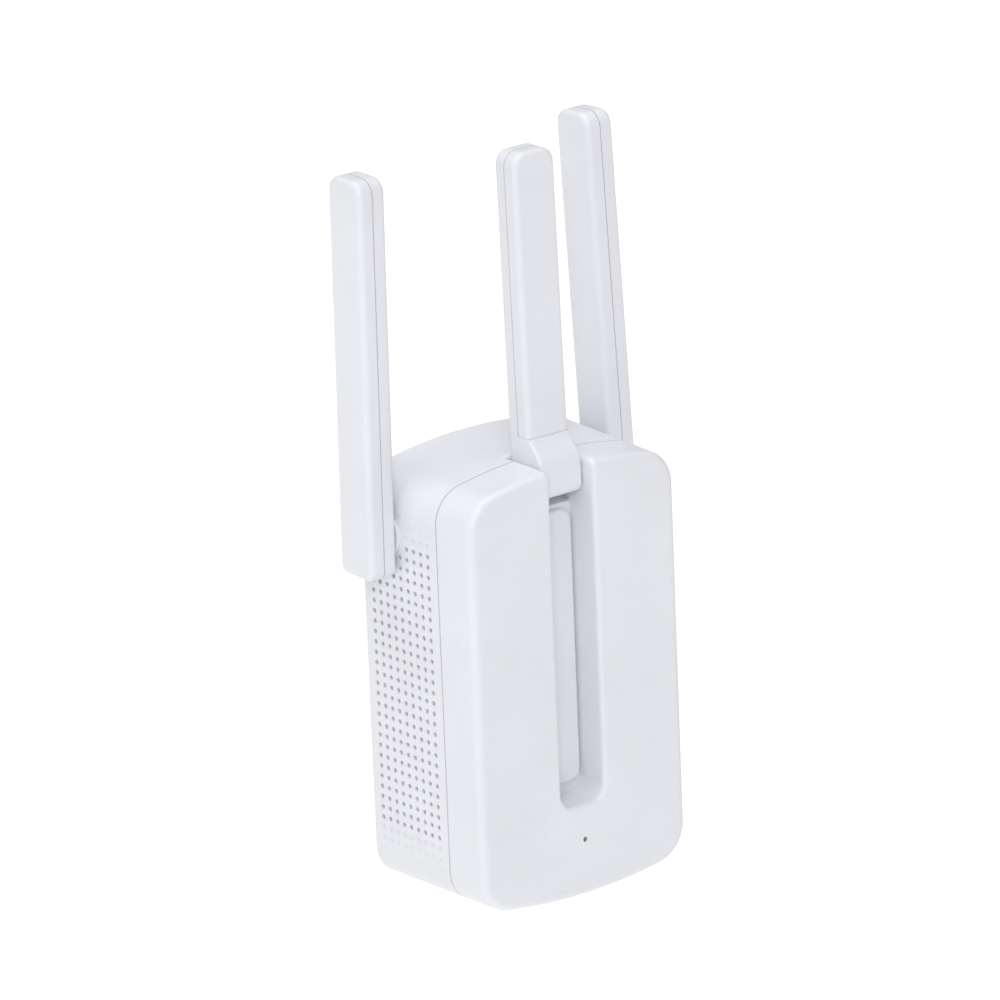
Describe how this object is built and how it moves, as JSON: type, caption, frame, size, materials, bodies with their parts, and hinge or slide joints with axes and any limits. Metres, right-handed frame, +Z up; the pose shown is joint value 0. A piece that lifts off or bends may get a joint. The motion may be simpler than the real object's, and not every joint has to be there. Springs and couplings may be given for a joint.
{
  "type": "wifi range extender",
  "caption": "White plug-in wifi range extender with side vents and folding antennas; one antenna folds down into a groove in the front.",
  "frame": {"origin": "middle of the plug, on the flat rear face between the two pins", "axes": "+X right seen from the room, +Y into the wall along the pins, +Z up"},
  "size_m": [0.0804, 0.0601, 0.1823],
  "materials": {
    "white_plastic": "satin",
    "dark_plastic": "satin",
    "plug_plastic": "satin",
    "board_green": "satin",
    "steel": "satin",
    "nickel": "polished",
    "brass": "satin",
    "copper": "satin",
    "aluminium": "satin",
    "ferrite": "matte",
    "yellow_tape": "satin",
    "red_film": "satin",
    "clear_plastic": "polished",
    "acetal": "satin",
    "grey_jacket": "satin",
    "blue_fuse": "satin"
  },
  "bodies": {
    "housing": {"front_cover": "white_plastic", "rear_housing": "white_plastic", "plug_insert": "plug_plastic", "plug_pins": "nickel", "main_board": "board_green", "power_board": "board_green", "transformer_core": "ferrite", "transformer_coil": "yellow_tape", "switch_body": "dark_plastic", "left_hinge_washer": "acetal", "right_hinge_washer": "acetal", "centre_hinge_washers": "acetal", "left_coax": "grey_jacket", "right_coax": "grey_jacket", "centre_coax": "grey_jacket", "bulk_capacitors": "dark_plastic", "output_capacitors": "aluminium", "fuse_resistor": "blue_fuse", "bridge_rectifier": "dark_plastic", "film_capacitor": "red_film", "radio_chip": "dark_plastic", "rf_shield": "steel", "heat_spreader": "aluminium", "insulation_sheet": "dark_plastic", "board_link": "dark_plastic", "status_led": "clear_plastic", "light_pipe": "clear_plastic", "coax_sockets": "brass", "housing_screws": "steel", "main_board_screws": "steel", "power_board_screws": "steel"},
    "left_antenna": {"left_antenna_outer_shell": "white_plastic", "left_antenna_inner_shell": "white_plastic", "left_antenna_radiator": "board_green", "left_hinge_clip": "steel"},
    "right_antenna": {"right_antenna_outer_shell": "white_plastic", "right_antenna_inner_shell": "white_plastic", "right_antenna_radiator": "board_green", "right_hinge_clip": "steel"},
    "centre_antenna": {"centre_antenna_front_shell": "white_plastic", "centre_antenna_rear_shell": "white_plastic", "centre_antenna_radiator": "board_green", "centre_antenna_feed_tab": "copper"},
    "button": {"wps_button": "white_plastic", "switch_plunger": "acetal"}
  },
  "joints": [
    {"name": "left_antenna_hinge", "type": "hinge", "parent": "housing", "child": "left_antenna", "pos_m": [-0.03635, -0.0091, 0.0372], "axis": [1, 0, 0], "range_deg": [-6, 179]},
    {"name": "centre_antenna_hinge", "type": "hinge", "parent": "housing", "child": "centre_antenna", "pos_m": [0, -0.0332, 0.05], "axis": [1, 0, 0], "range_deg": [-3.7, 181.3]},
    {"name": "right_antenna_hinge", "type": "hinge", "parent": "housing", "child": "right_antenna", "pos_m": [0.03635, -0.0091, 0.0372], "axis": [1, 0, 0], "range_deg": [-1.8, 183.2]},
    {"name": "wps_button_press", "type": "slide", "parent": "housing", "child": "button", "axis": [-1, 0, 0], "range_m": [0, 0.0004], "stiffness_N_per_m": 600}
  ]
}
